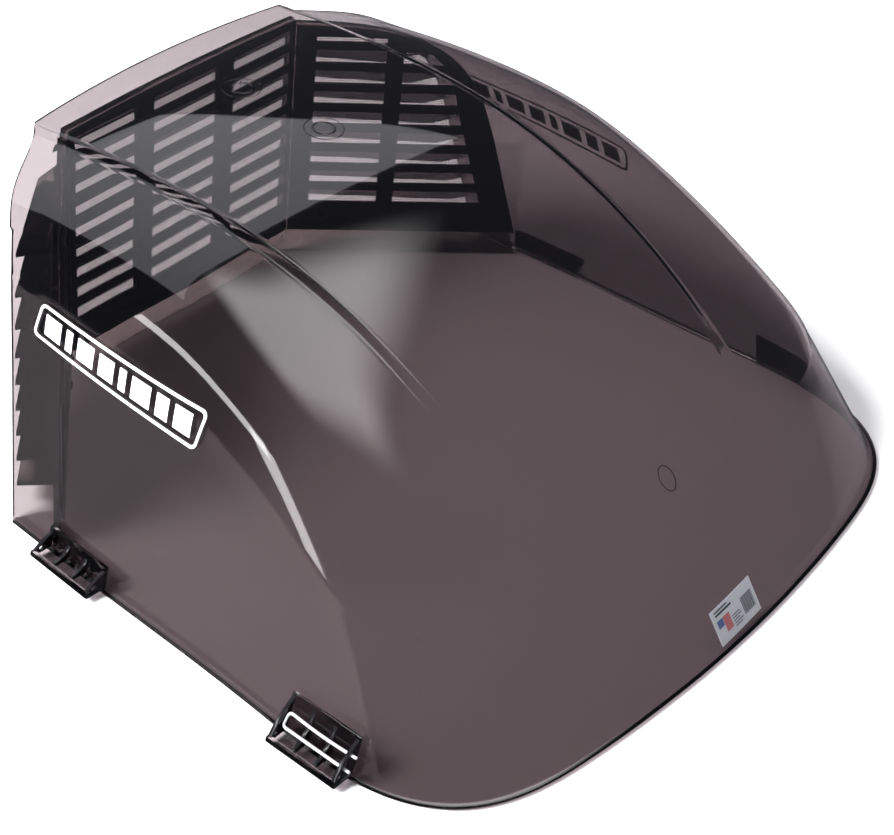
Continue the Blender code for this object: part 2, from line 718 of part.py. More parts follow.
def clip(name, frame, height, rib_height, wired):
    facet = frame.facet()
    body = extruded(name, facet, clip_body(height, frame.slope), [], 0.0, CLIP_LEN, PARTS, SMOKE)
    group = bpy.data.collections.new(name + "_ribs")
    TOOLS.children.link(group)
    step = (CLIP_LEN - 1.0 - END_RIB) / (CLIP_RIBS - 1)
    for k in range(CLIP_RIBS):
        u = 0.5 + k * step
        end = k in (0, CLIP_RIBS - 1)
        holes = [circle(*PIN_AT[wired], PIN_HOLE / 2, 16)] if end else []
        if wired and k == 0:
            holes.append(wire_slot())
        helper(extruded(f"{name}_rib_{k}", facet, clip_rib(rib_height, frame.slope, end, wired), holes, u, u + END_RIB,
                        group, None))
    boolean_set(body, group, "UNION")
    return body


def tube(name, frame, points, radius, mat):
    """A round wire through the points, as a bevelled curve."""
    curve = bpy.data.curves.new(name, "CURVE")
    curve.dimensions = "3D"
    curve.bevel_depth = radius / 1000.0
    curve.bevel_resolution = 2
    curve.use_fill_caps = True
    spl = curve.splines.new("POLY")
    spl.points.add(len(points) - 1)
    for point, (u, w, z) in zip(spl.points, points):
        point.co = (*place(frame.at(u, w, z)), 1.0)
    obj = bpy.data.objects.new(name, curve)
    PARTS.objects.link(obj)
    curve.materials.append(mat)
    return obj


def bail_line():
    """Two legs that run out through the front rib, joined by a bend just inside the rear rib."""
    d = LEG_HIGH - LEG_LOW
    span = float(np.linalg.norm(d))
    d = d / span
    far, r = CLIP_LEN - 0.5 - END_RIB - GAP - WIRE / 2, 2.4
    at = lambda u, q: (u, *(LEG_LOW + d * q))
    pts = [at(-3.0, 0.0), at(far - r, 0.0)]
    pts += [at(far - r + r * math.sin(a), r - r * math.cos(a)) for a in np.radians((22.5, 45, 67.5, 90))]
    pts += [at(far - r + r * math.cos(a), span - r + r * math.sin(a)) for a in np.radians((0, 22.5, 45, 67.5, 90))]
    pts += [at(u, span - 0.8 * math.sin(math.pi * (u + 3.0) / (far - r + 3.0))) for u in np.linspace(far - r - 5.0, -3.0, 10)]
    return pts


for side, sign in (("left", -1.0), ("right", 1.0)):
    front = ClipFrame(97.5, sign)
    rear = ClipFrame(301.5, sign)
    clip(f"clip_housing_front_{side}", front, 28.0, 28.0, True)
    clip(f"clip_housing_rear_{side}", rear, 18.5, 17.0, False)
    pull = axis_empty(f"hairpin_{side}_pull", front.at(CLIP_LEN / 2, *LEG_LOW))
    hang(tube(f"hairpin_{side}", front, bail_line(), WIRE / 2, STEEL), pull)


# printed side graphics and the label on the nose, as thin plates just off the shell
def wall_point(y, z):
    """The hood's outer side wall at the height z, for the station y from the nose."""
    def error(q, t):
        p = side_point(t, q)
        return p[2] - z, p[1] - y
    t = (FACET_Y - y) / (FACET_Y - 57.0)
    q = 0.75
    for _ in range(12):
        e = np.array(error(q, t))
        dq = (np.array(error(q + 1e-4, t)) - e) / 1e-4
        dt = (np.array(error(q, t + 1e-4)) - e) / 1e-4
        step = np.linalg.solve(np.stack([dq, dt], 1), -e)
        q, t = q + step[0], t + step[1]
    return side_point(t, q)


def wall_frame(y, z):
    p = wall_point(y, z)
    ty, tz = wall_point(y + 0.5, z) - p, wall_point(y, z + 0.5) - p
    n = np.cross(ty, tz)
    n /= np.linalg.norm(n)
    return p, n if n[0] > 0 else -n


def skin(name, count_u, count_v, on, frame_at, low, high, mat):
    """Cells of a grid that are on, as one thin closed plate between two offsets from a surface."""
    bm = bmesh.new()
    made = {}

    def vert(i, j, layer):
        if (i, j, layer) not in made:
            p, n = frame_at(i / count_u, j / count_v)
            made[i, j, layer] = bm.verts.new(place(p + n * (high if layer else low)))
        return made[i, j, layer]

    for i in range(count_u):
        for j in range(count_v):
            if not on(i, j):
                continue
            ring = [(i, j), (i + 1, j), (i + 1, j + 1), (i, j + 1)]
            bm.faces.new([vert(*c, 1) for c in ring])
            bm.faces.new([vert(*c, 0) for c in ring[::-1]])
            for k, (di, dj) in enumerate(((0, -1), (1, 0), (0, 1), (-1, 0))):
                a, b = ring[k], ring[(k + 1) % 4]
                ni, nj = i + di, j + dj
                if not (0 <= ni < count_u and 0 <= nj < count_v) or not on(ni, nj):
                    bm.faces.new([vert(*b, 1), vert(*a, 1), vert(*a, 0), vert(*b, 0)])
    return bm_object(name, bm, PARTS, mat)


DECAL_Y, DECAL_LEN = 255.5, 138.0
DECAL_LOW, DECAL_TALL = 122.5, 24.0


def decal_frame(sign):
    def at(u, v):
        y = DECAL_Y + DECAL_LEN * u - 2.0 * v
        z = DECAL_LOW + 5.0 * u + DECAL_TALL * (v ** 1.0) - 4.0 * u * v
        p, n = wall_frame(y, z)
        m = np.array([sign, 1.0, 1.0])
        return p * m, n * m
    return at


def decal_cell(i, j):
    if j in (0, 5) or i in (0, 27):
        return True
    return i in (4, 5, 9, 10, 14, 15, 19, 20, 24, 25)


for side, sign in (("left", -1.0), ("right", 1.0)):
    skin(f"side_decal_{side}", 28, 6, decal_cell, decal_frame(sign), 0.5, 0.9, PRINT)


def nose_frame(u, v):
    """The lower front skirt, flat in v, over the label's footprint."""
    x = -15.5 + 44.0 * u
    w = 0.985 - 0.255 * v - 0.02 * u
    f = along(BASE_CURVE, abs(x) / np.hypot(*np.diff(BASE_CURVE, axis=0).T).sum())
    top = np.array([abs(x), 57.0 + 4.5 * (abs(x) / 84.0) ** 2, 74.0])
    p = skirt_point(top, f, w)
    p[0] = x
    d = top - np.array([f[0], f[1], WALL])
    n = np.array([0.0, -d[2], d[1]])
    return p, n / np.linalg.norm(n)


skin("barcode_label", 6, 3, lambda i, j: True, nose_frame, 0.5, 0.9, LABEL)
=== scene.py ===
import math

import bmesh
import bpy
import numpy as np
from mathutils import Matrix, Vector


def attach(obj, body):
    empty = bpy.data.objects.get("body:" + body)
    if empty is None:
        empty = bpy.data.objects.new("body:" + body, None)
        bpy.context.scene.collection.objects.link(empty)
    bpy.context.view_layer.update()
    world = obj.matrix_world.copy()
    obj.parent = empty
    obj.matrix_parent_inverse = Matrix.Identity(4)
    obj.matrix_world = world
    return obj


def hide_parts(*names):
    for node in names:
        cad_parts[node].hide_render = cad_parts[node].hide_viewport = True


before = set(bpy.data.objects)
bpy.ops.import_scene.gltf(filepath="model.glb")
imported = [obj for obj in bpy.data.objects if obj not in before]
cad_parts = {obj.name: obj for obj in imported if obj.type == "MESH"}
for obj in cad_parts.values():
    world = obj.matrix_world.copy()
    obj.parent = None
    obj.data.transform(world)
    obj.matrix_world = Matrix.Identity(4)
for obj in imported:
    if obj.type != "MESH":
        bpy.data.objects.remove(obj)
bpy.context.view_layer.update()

# ---------------------------------------------------------------- dimensions, mm, as in the solids
LENGTH = 496.0
MID_Y = LENGTH / 2
WALL = 3.0
LIP_OUT = 4.0
CROWN = 3.0
STEP_OUT = 9.0
STEP_DOWN = 3.6
FACET_Y = 483.0
CORNER_X = 111.0
SIDE_SUM = FACET_Y + CORNER_X
OVER_SIDE = 24.0
SET = 10.0
CORNER = CORNER_X - SET * math.tan(math.radians(22.5))
SET_SUM = SIDE_SUM - SET * math.sqrt(2)
MESH_MID = -4.4

ROOF_Z = ((61.5, 76.0), (80.0, 93.0), (110.0, 115.5), (150.0, 141.0), (200.0, 167.0), (250.0, 185.0),
          (300.0, 195.2), (350.0, 199.1), (400.0, 198.4), (450.0, 194.7), (483.0, 190.8), (500.0, 188.6))
RIDGE_X = ((61.5, 84.0), (80.0, 91.5), (100.0, 98.0), (125.0, 103.5), (160.0, 106.3), (220.0, 107.0),
           (320.0, 107.8), (400.0, 108.8), (483.0, 111.0), (500.0, 111.4))
CREASE_X = ((95.0, 200.0), (100.0, 204.3), (110.0, 210.5), (130.0, 216.0), (161.0, 218.8), (200.0, 218.6), (250.0, 217.6),
            (300.0, 216.0), (350.0, 213.2), (384.0, 210.5), (420.0, 208.0))
CREASE_Z = ((95.0, 78.0), (130.0, 80.5), (161.0, 83.5), (200.0, 87.5), (250.0, 91.8), (300.0, 94.6),
            (350.0, 96.4), (384.0, 97.0), (420.0, 97.0))
RIM = ((0.0, 0.0), (43.0, 0.9), (75.0, 2.8), (108.0, 5.6), (129.0, 8.0), (151.0, 11.0), (175.0, 15.8),
       (199.0, 24.2), (219.0, 37.0), (234.0, 54.5), (243.5, 75.5), (248.0, 98.0), (249.0, 121.0),
       (247.6, 145.0), (245.4, 170.0), (242.8, 205.0), (240.4, 250.0), (238.2, 300.0), (235.6, 340.0),
       (233.2, 370.0), (231.4, 400.0))


def spline(stations):
    x = np.array([s[0] for s in stations], float)
    y = np.array([s[1] for s in stations], float)
    n = len(x)
    h = np.diff(x)
    a = np.zeros((n, n))
    b = np.zeros(n)
    a[0, 0] = a[-1, -1] = 1.0
    for i in range(1, n - 1):
        a[i, i - 1], a[i, i], a[i, i + 1] = h[i - 1], 2 * (h[i - 1] + h[i]), h[i]
        b[i] = 6 * ((y[i + 1] - y[i]) / h[i] - (y[i] - y[i - 1]) / h[i - 1])
    m = np.linalg.solve(a, b)

    def value(q):
        q = np.asarray(q, float)
        k = np.clip(np.searchsorted(x, q) - 1, 0, n - 2)
        t = q - x[k]
        s = (y[k + 1] - y[k]) / h[k] - h[k] * (2 * m[k] + m[k + 1]) / 6
        return y[k] + s * t + m[k] * t * t / 2 + (m[k + 1] - m[k]) * t ** 3 / (6 * h[k])

    return value


roof_z, ridge_x, crease_x, crease_z = (spline(s) for s in (ROOF_Z, RIDGE_X, CREASE_X, CREASE_Z))


def smooth(lo, hi, value):
    t = np.clip((value - lo) / (hi - lo), 0.0, 1.0)
    return t * t * (3 - 2 * t)


def dense(points, count):
    p = np.array(points, float)
    s = np.concatenate([[0], np.cumsum(np.hypot(*np.diff(p, axis=0).T))])
    fx, fy = spline(list(zip(s, p[:, 0]))), spline(list(zip(s, p[:, 1])))
    q = np.linspace(0, s[-1], count)
    return np.stack([fx(q), fy(q)], 1)


def inset(curve, by):
    d = np.gradient(curve, axis=0)
    d /= np.hypot(d[:, 0], d[:, 1])[:, None]
    d[0] = (1.0, 0.0)
    return curve + by * np.stack([-d[:, 1], d[:, 0]], 1)


def half_rim(count):
    both = [(-x, y) for x, y in RIM[3:0:-1]] + list(RIM)
    curve = dense(both, count)
    return np.vstack([[0.0, 0.0], curve[curve[:, 0] > 0.4]])


RIM_CURVE = half_rim(1400)
BASE_CURVE = inset(RIM_CURVE, LIP_OUT)
BASE_CURVE[:, 0] = np.maximum(BASE_CURVE[:, 0], 0.0)


def cut_at(curve, total):
    k = int(np.argmax(curve.sum(1) >= total))
    a, b = curve[k - 1], curve[k]
    f = (total - a.sum()) / (b.sum() - a.sum())
    return np.vstack([curve[:k], a + f * (b - a)])


def along(curve, share):
    s = np.concatenate([[0], np.cumsum(np.hypot(*np.diff(curve, axis=0).T))])
    return np.stack([np.interp(share * s[-1], s, curve[:, 0]), np.interp(share * s[-1], s, curve[:, 1])], -1)


# ---------------------------------------------------------------- the hood's outer surface
def row_lines(t):
    yc = FACET_Y + (57.0 - FACET_Y) * t
    yr = FACET_Y + (61.5 - FACET_Y) * t
    yk = (SIDE_SUM - 210.5) + (95.0 - (SIDE_SUM - 210.5)) * t
    zr = float(roof_z(yr))
    centre = np.array([0.0, yc, zr + CROWN * (1 - t ** 3) - 2.0 * t ** 6])
    ridge = np.array([float(ridge_x(yr)), yr, zr])
    crease = np.array([float(crease_x(yk)), yk, float(crease_z(yk))])
    return centre, ridge, crease


def step_fade(t):
    return 1 - smooth(0.80, 0.93, t)


def step_foot(t):
    centre, ridge, crease = row_lines(t)
    fade = step_fade(t)
    slope = 2 * (ridge - centre) / ridge[0]
    foot = ridge.copy()
    foot[0] += STEP_OUT
    foot[1] += STEP_OUT * (fade * (crease[1] - ridge[1]) / (crease[0] - ridge[0]) + (1 - fade) * slope[1])
    foot[2] += (1 - fade) * STEP_OUT * slope[2] - fade * STEP_DOWN
    return foot


def side_points(t, q):
    """Points between the foot of the ridge's step (q 0) and the crease (q 1)."""
    q = np.atleast_1d(np.asarray(q, float))
    foot = step_foot(t)
    centre, ridge, crease = row_lines(t)
    dx, dz = crease[0] - foot[0], crease[2] - foot[2]
    front = smooth(0.35, 1.0, t)
    gone = 1 - step_fade(t)
    slope = 2 * (ridge - centre) / ridge[0]
    x1 = foot[0] + dx * (0.62 - 0.10 * front)
    z1 = foot[2] + (1 - gone) * dz * 0.05 + gone * slope[2] * (x1 - foot[0])
    x2 = crease[0] - dx * (0.18 - 0.04 * front)
    z2 = crease[2] - dz * 0.88
    b0, b1, b2, b3 = (1 - q) ** 3, 3 * (1 - q) ** 2 * q, 3 * (1 - q) * q * q, q ** 3
    x = b0 * foot[0] + b1 * x1 + b2 * x2 + b3 * crease[0]
    z = b0 * foot[2] + b1 * z1 + b2 * z2 + b3 * crease[2]
    u = np.clip((x - foot[0]) / dx, 0, 1)
    start = gone * slope[1] * dx
    y = foot[1] + start * u + (crease[1] - foot[1] - start) * u ** (1.0 + 3.9 * front)
    return np.stack([x, y, z], 1)


def overhang(x):
    x = np.asarray(x, float)
    return np.where(x <= CORNER_X, 13.0 - 6.0 * (x / CORNER_X) ** 2,
                    7.0 + (OVER_SIDE - 7.0) * smooth(CORNER_X, 172.0, x))


TOP_V = np.concatenate([np.linspace(0, 0.94, 24), [0.955, 0.968, 0.979, 0.988, 0.995, 1.0]])
STEP_Q = np.linspace(0, 1, 11)[1:]
SIDE_Q = np.concatenate([[0.006, 0.014, 0.024, 0.036, 0.05, 0.07], np.linspace(0.095, 0.94, 34),
                         [0.955, 0.967, 0.977, 0.985, 0.992, 1.0]])


def row_points(t):
    centre, ridge, _ = row_lines(t)
    v = TOP_V
    top = centre + (ridge - centre) * (v ** 2)[:, None]
    top[:, 0] = ridge[0] * v
    foot = step_foot(t)
    s = STEP_Q
    step = ridge + (foot - ridge) * s[:, None]
    # the step's face is steep in its middle and round at both edges
    ease = s - 0.16 * step_fade(t) * np.sin(2 * math.pi * s)
    step[:, 2] = ridge[2] + (foot[2] - ridge[2]) * ease
    return np.vstack([top, step, side_points(t, SIDE_Q)])


def past_facet(p, share):
    d = overhang(p[:, 0]) * share
    q = p.copy()
    q[:, 1] += d
    q[:, 2] -= np.where(p[:, 2] > 150, 0.12 * d, 0.0)
    q[:, 0] -= np.where(p[:, 0] > 180, 0.07 * d, 0.0)
    return q


ROW_T = np.concatenate([np.linspace(0, 0.965, 130), [0.972, 0.978, 0.984, 0.989, 0.993, 0.997, 1.0]])
OVER_SHARES = (1.0, 0.97, 0.9, 0.6, 0.3)


def hood_rows():
    first = row_points(0.0)
    rows = [past_facet(first, s) for s in OVER_SHARES]
    rows += [row_points(t) for t in ROW_T]
    return rows


def skirt_point(crease, foot, w):
    """Down the skirt: straight from the crease to the foot."""
    p = np.array(crease)[..., :] * 1.0
    q = np.empty_like(p)
    q[..., :2] = p[..., :2] + (foot - p[..., :2]) * w
    q[..., 2] = p[..., 2] + (WALL - p[..., 2]) * w
    return q


def place(p):
    return ((p[0]) / 1000.0, (p[1] - MID_Y) / 1000.0, p[2] / 1000.0)


def to_m(a):
    a = np.asarray(a, float).copy()
    a[..., 1] -= MID_Y
    return a / 1000.0


# ---------------------------------------------------------------- node materials
def new_material(name):
    mat = bpy.data.materials.new(name)
    mat.use_nodes = True
    tree = mat.node_tree
    return mat, tree, tree.nodes["Principled BSDF"], tree.nodes["Material Output"]


def node(tree, kind, **inputs):
    n = tree.nodes.new(kind)
    for key, value in inputs.items():
        if key.startswith("_"):
            setattr(n, key[1:], value)
        else:
            n.inputs[key.replace("__", " ")].default_value = value
    return n


def noise_bump(tree, shader, scale, strength, distance, detail=2.0):
    coord = node(tree, "ShaderNodeTexCoord")
    noise = node(tree, "ShaderNodeTexNoise", Scale=scale, Detail=detail)
    bump = node(tree, "ShaderNodeBump", Strength=strength, Distance=distance)
    tree.links.new(coord.outputs["Object"], noise.inputs["Vector"])
    tree.links.new(noise.outputs["Fac"], bump.inputs["Height"])
    tree.links.new(bump.outputs["Normal"], shader.inputs["Normal"])
    return coord, noise, bump


def smoke(name, tint, shade, rough=0.03, wave=0.04):
    """Smoke-tinted clear plastic: tint is what one wall lets through to the eye, shade what it lets through of a lamp."""
    mat, tree, shader, out = new_material(name)
    shader.inputs["Base Color"].default_value = (*tint, 1)
    shader.inputs["Transmission Weight"].default_value = 1.0
    shader.inputs["IOR"].default_value = 1.49
    shader.inputs["Roughness"].default_value = rough
    noise_bump(tree, shader, 14.0, wave, 0.002, 1.0)
    path = node(tree, "ShaderNodeLightPath")
    clear = node(tree, "ShaderNodeBsdfTransparent", Color=(*[math.sqrt(c) for c in shade], 1))
    mix = node(tree, "ShaderNodeMixShader")
    tree.links.new(path.outputs["Is Shadow Ray"], mix.inputs["Fac"])
    tree.links.new(shader.outputs["BSDF"], mix.inputs[1])
    tree.links.new(clear.outputs["BSDF"], mix.inputs[2])
    tree.links.new(mix.outputs["Shader"], out.inputs["Surface"])
    return mat


def plastic(name, color, rough, bump_scale=900.0, bump=0.15):
    mat, tree, shader, out = new_material(name)
    shader.inputs["IOR"].default_value = 1.5
    coord, noise, _ = noise_bump(tree, shader, bump_scale, bump, 0.0002, 3.0)
    big = node(tree, "ShaderNodeTexNoise", Scale=9.0, Detail=4.0)
    tree.links.new(coord.outputs["Object"], big.inputs["Vector"])
    ramp = node(tree, "ShaderNodeValToRGB")
    ramp.color_ramp.elements[0].position = 0.3
    ramp.color_ramp.elements[1].position = 0.7
    ramp.color_ramp.elements[0].color = (*[c * 0.85 for c in color], 1)
    ramp.color_ramp.elements[1].color = (*[c * 1.12 for c in color], 1)
    tree.links.new(big.outputs["Fac"], ramp.inputs["Fac"])
    tree.links.new(ramp.outputs["Color"], shader.inputs["Base Color"])
    span = node(tree, "ShaderNodeMapRange")
    span.inputs["To Min"].default_value = rough * 0.85
    span.inputs["To Max"].default_value = rough * 1.15
    tree.links.new(big.outputs["Fac"], span.inputs["Value"])
    tree.links.new(span.outputs["Result"], shader.inputs["Roughness"])
    return mat


SMOKE = smoke("smoke_clear", (0.262, 0.226, 0.235), (0.145, 0.122, 0.128), 0.02, 0.02)
SMOKE_PANEL = smoke("smoke_louvre", (0.24, 0.20, 0.20), (0.10, 0.085, 0.085), 0.06)
SMOKE_CLIP = smoke("smoke_clip", (0.26, 0.225, 0.235), (0.12, 0.10, 0.106), 0.04)
RIB_BLACK = plastic("clip_rib_black", (0.007, 0.0065, 0.0075), 0.16, 400.0, 0.05)
BLACK = plastic("screen_black", (0.010, 0.011, 0.017), 0.32)
GAUZE = plastic("gauze_yarn", (0.045, 0.045, 0.050), 0.6, 3000.0, 0.3)
WHITE = plastic("print_white", (0.86, 0.86, 0.87), 0.42)
SILVER = plastic("label_silver", (0.34, 0.35, 0.375), 0.35)
INK = plastic("label_ink", (0.03, 0.03, 0.04), 0.45)
INK_BLUE = plastic("label_blue", (0.06, 0.08, 0.19), 0.45)
INK_RED = plastic("label_red", (0.30, 0.09, 0.10), 0.45)

STEEL, steel_tree, steel_shader, _ = new_material("spring_steel")
steel_shader.inputs["Metallic"].default_value = 0.6
steel_shader.inputs["Base Color"].default_value = (0.86, 0.86, 0.88, 1)
steel_shader.inputs["Roughness"].default_value = 0.4
noise_bump(steel_tree, steel_shader, 1200.0, 0.1, 0.0001)


# ---------------------------------------------------------------- building pieces
SLOT_OF = {}


def finish_piece(obj, body, node_names=()):
    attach(obj, body)
    if node_names:
        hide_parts(*node_names)
    return obj


def mesh_object(name, bm, mats, angle=30.0):
    mesh = bpy.data.meshes.new(name)
    bm.to_mesh(mesh)
    bm.free()
    for m in mats:
        mesh.materials.append(m)
    mesh.shade_smooth()
    if angle:
        mesh.set_sharp_from_angle(angle=math.radians(angle))
    obj = bpy.data.objects.new(name, mesh)
    bpy.context.scene.collection.objects.link(obj)
    return obj


def apply_modifiers(obj):
    bpy.context.view_layer.update()
    graph = bpy.context.evaluated_depsgraph_get()
    made = bpy.data.meshes.new_from_object(obj.evaluated_get(graph))
    old = obj.data
    obj.modifiers.clear()
    obj.data = made
    bpy.data.meshes.remove(old)
    return obj


def build_hood():
    rows = hood_rows()
    bm = bmesh.new()
    verts = [[bm.verts.new(p) for p in to_m(r)] for r in rows]
    for r in range(len(rows) - 1):
        for c in range(len(rows[0]) - 1):
            bm.faces.new((verts[r][c], verts[r + 1][c], verts[r + 1][c + 1], verts[r][c + 1]))
    n_over = len(OVER_SHARES)
    front = list(rows[-1])
    side = [r[-1] for r in reversed(rows[:-1])]
    crease = np.array(front + side)
    crease_verts = verts[-1] + [row[-1] for row in reversed(verts[:-1])]
    n_in = len(crease) - n_over
    inner = crease[:n_in, :2]
    s = np.concatenate([[0], np.cumsum(np.hypot(*np.diff(inner, axis=0).T))])
    share = s / s[-1]
    base, rim = cut_at(BASE_CURVE, SIDE_SUM), cut_at(RIM_CURVE, SIDE_SUM)
    foot, edge = list(along(base, share)), list(along(rim, share))
    base_far, rim_far = cut_at(BASE_CURVE, SIDE_SUM + OVER_SIDE), cut_at(RIM_CURVE, SIDE_SUM + OVER_SIDE)
    b0, b1, e0, e1 = foot[-1], base_far[-1], edge[-1], rim_far[-1]
    for sh in reversed(OVER_SHARES):
        foot.append(b0 + (b1 - b0) * sh)
        edge.append(e0 + (e1 - e0) * sh)
    foot, edge = np.array(foot), np.array(edge)
    lines = [crease_verts]
    ws = np.concatenate([[0.012, 0.028, 0.05, 0.08], np.linspace(0.12, 0.9, 14), [0.93, 0.955, 0.975, 0.99]])
    for w in ws:
        lines.append([bm.verts.new(p) for p in to_m(skirt_point(crease, foot, w))])
    # the lip: a small fillet from the skirt, a flat, and a rounded outer edge
    for f, z in ((0.06, WALL + 0.45), (0.2, WALL + 0.12), (0.4, WALL), (0.8, WALL), (0.95, WALL - 0.25), (1.0, WALL - 0.7)):
        p = np.column_stack([foot + (edge - foot) * f, np.full(len(foot), z)])
        lines.append([bm.verts.new(q) for q in to_m(p)])
    for a, b in zip(lines, lines[1:]):
        for k in range(len(a) - 1):
            bm.faces.new((a[k], b[k], b[k + 1], a[k + 1]))
    bmesh.ops.recalc_face_normals(bm, faces=bm.faces[:])
    up = max(bm.faces, key=lambda f: f.calc_center_median().z)
    if up.normal.z < 0:
        bmesh.ops.reverse_faces(bm, faces=bm.faces[:])
    obj = mesh_object("hood", bm, [SMOKE], None)
    mirror = obj.modifiers.new("Mirror", "MIRROR")
    mirror.merge_threshold = 0.00005
    solid = obj.modifiers.new("Wall", "SOLIDIFY")
    solid.thickness = WALL / 1000.0
    solid.offset = -1.0
    solid.use_even_offset = True
    apply_modifiers(obj)
    obj.data.set_sharp_from_angle(angle=math.radians(50))
    return obj


hood = finish_piece(build_hood(), "cover", ["hood_shell"])


def bevelled_copy(node_name, name, body, mat, width, segments=2, angle=35.0):
    """A carried-over solid with its sharp edges rounded."""
    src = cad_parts[node_name]
    mesh = src.data.copy()
    mesh.name = name
    mesh.materials.clear()
    mesh.materials.append(mat)
    obj = bpy.data.objects.new(name, mesh)
    bpy.context.scene.collection.objects.link(obj)
    bm = bmesh.new()
    bm.from_mesh(mesh)
    bmesh.ops.remove_doubles(bm, verts=bm.verts[:], dist=2e-5)
    bmesh.ops.dissolve_limit(bm, angle_limit=math.radians(1.0), verts=bm.verts[:], edges=bm.edges[:])
    bm.to_mesh(mesh)
    bm.free()
    mod = obj.modifiers.new("Round", "BEVEL")
    mod.width = width / 1000.0
    mod.segments = segments
    mod.limit_method = "ANGLE"
    mod.angle_limit = math.radians(angle)
    mod.use_clamp_overlap = True
    mod.harden_normals = False
    apply_modifiers(obj)
    obj.data.shade_smooth()
    obj.data.set_sharp_from_angle(angle=math.radians(40))
    return finish_piece(obj, body, [node_name])


for part in ("center", "left", "right"):
    bevelled_copy(f"louvre_panel_{part}", f"louvres_{part}", "cover", SMOKE_PANEL, 0.35)
    bevelled_copy(f"screen_frame_{part}", f"frame_{part}", f"screen_{part}", BLACK, 0.5)
    for k in (1, 2):
        bevelled_copy(f"screen_rivet_{part}_{k}", f"rivet_{part}_{k}", f"screen_{part}", BLACK, 0.15)


def darken_ribs(obj):
    """The ribs are too thick to see through: their sides, edges and rounds, all short along the wall."""
    obj.data.materials.append(RIB_BLACK)
    co = obj.data.vertices
    for face in obj.data.polygons:
        ys = [co[v].co.y for v in face.vertices]
        face.material_index = 1 if max(ys) - min(ys) < 0.0045 else 0


for side in ("left", "right"):
    for end in ("front", "rear"):
        darken_ribs(bevelled_copy(f"clip_housing_{end}_{side}", f"clip_{end}_{side}", "cover", SMOKE_CLIP, 0.4))


# ---------------------------------------------------------------- insect mesh: two layers of crossing wires
class Facet:
    def __init__(self, origin, direction, normal):
        self.o, self.d, self.n = np.array(origin, float), np.array(direction, float), np.array(normal, float)

    def at(self, s, n, z):
        p = self.o + self.d * s + self.n * n
        return np.array([p[0], p[1], z])


R2 = math.sqrt(0.5)
FACETS = {"center": Facet((0.0, FACET_Y - SET), (1.0, 0.0), (0.0, 1.0)),
          "right": Facet((CORNER, FACET_Y - SET), (R2, -R2), (R2, R2)),
          "left": Facet((-CORNER, FACET_Y - SET), (-R2, -R2), (-R2, R2))}


def on_plane(line, total):
    lo, hi = 0.0, 0.12
    for _ in range(30):
        mid = (lo + hi) / 2
        p = line(mid)
        lo, hi = (mid, hi) if p[0] + p[1] > total else (lo, mid)
    return line((lo + hi) / 2)


def side_profile():
    pts = [on_plane(lambda t, q=j / 24: side_points(t, q)[0], SET_SUM) for j in range(25)]
    foot = cut_at(BASE_CURVE, SET_SUM)[-1]
    pts += [skirt_point(pts[24], foot, w) for w in (0.25, 0.5, 0.75, 1.0)]
    return np.array([(p[0], p[2]) for p in pts])


PROFILE = side_profile()


def inner_profile(clear):
    d = np.gradient(PROFILE, axis=0)
    d /= np.hypot(d[:, 0], d[:, 1])[:, None]
    inner = PROFILE + (WALL + clear) * np.stack([d[:, 1], -d[:, 0]], 1)
    return np.stack([(inner[:, 0] - CORNER) / R2, inner[:, 1]], 1)


def profile_s(z, clear):
    line = inner_profile(clear)
    return float(np.interp(z, line[::-1, 1], line[::-1, 0]))


def profile_top(s, clear):
    line = inner_profile(clear)
    return float(np.interp(s, line[:25, 0], line[:25, 1]))


def wires(bm, facet, a, b, n, half, across):
    """A square wire from a to b, both (s, z), centred at the depth n."""
    (s0, z0), (s1, z1) = a, b
    if across:
        ring = lambda s, z: [facet.at(s, n - half, z - half), facet.at(s, n + half, z - half),
                             facet.at(s, n + half, z + half), facet.at(s, n - half, z + half)]
    else:
        ring = lambda s, z: [facet.at(s - half, n - half, z), facet.at(s + half, n - half, z),
                             facet.at(s + half, n + half, z), facet.at(s - half, n + half, z)]
    va = [bm.verts.new(p) for p in to_m(ring(s0, z0))]
    vb = [bm.verts.new(p) for p in to_m(ring(s1, z1))]
    bm.faces.new(va[::-1])
    bm.faces.new(vb)
    for i in range(4):
        j = (i + 1) % 4
        bm.faces.new((va[i], va[j], vb[j], vb[i]))


YARN = 0.13
STEP = 1.45


def build_gauze(part):
    facet = FACETS[part]
    bm = bmesh.new()
    if part == "center":
        s_lo, s_hi, z_lo, z_hi = -101.5, 101.5, 27.0, 184.5
    else:
        s_lo, s_hi, z_lo, z_hi = 9.0, 170.0, 27.0, 182.0
    for z in np.arange(z_lo + 0.5, z_hi - 0.5, STEP):
        hi = s_hi if part == "center" else min(s_hi, profile_s(z, 3.2))
        if hi > s_lo + 4:
            wires(bm, facet, (s_lo, z), (hi, z), MESH_MID - YARN, YARN, True)
    for s in np.arange(s_lo + 0.5, s_hi - 0.5, STEP):
        hi = z_hi if part == "center" else min(z_hi, profile_top(s, 3.2))
        if hi > z_lo + 4:
            wires(bm, facet, (s, z_lo), (s, hi), MESH_MID + YARN, YARN, False)
    bmesh.ops.recalc_face_normals(bm, faces=bm.faces[:])
    obj = mesh_object(f"gauze_{part}", bm, [GAUZE], None)
    obj.data.shade_flat()
    return finish_piece(obj, f"screen_{part}", [f"insect_mesh_{part}"])


for part in ("center", "left", "right"):
    build_gauze(part)

for side in ("left", "right"):
    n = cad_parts[f"hairpin_{side}"]
    n.data.materials.clear()
    n.data.materials.append(STEEL)

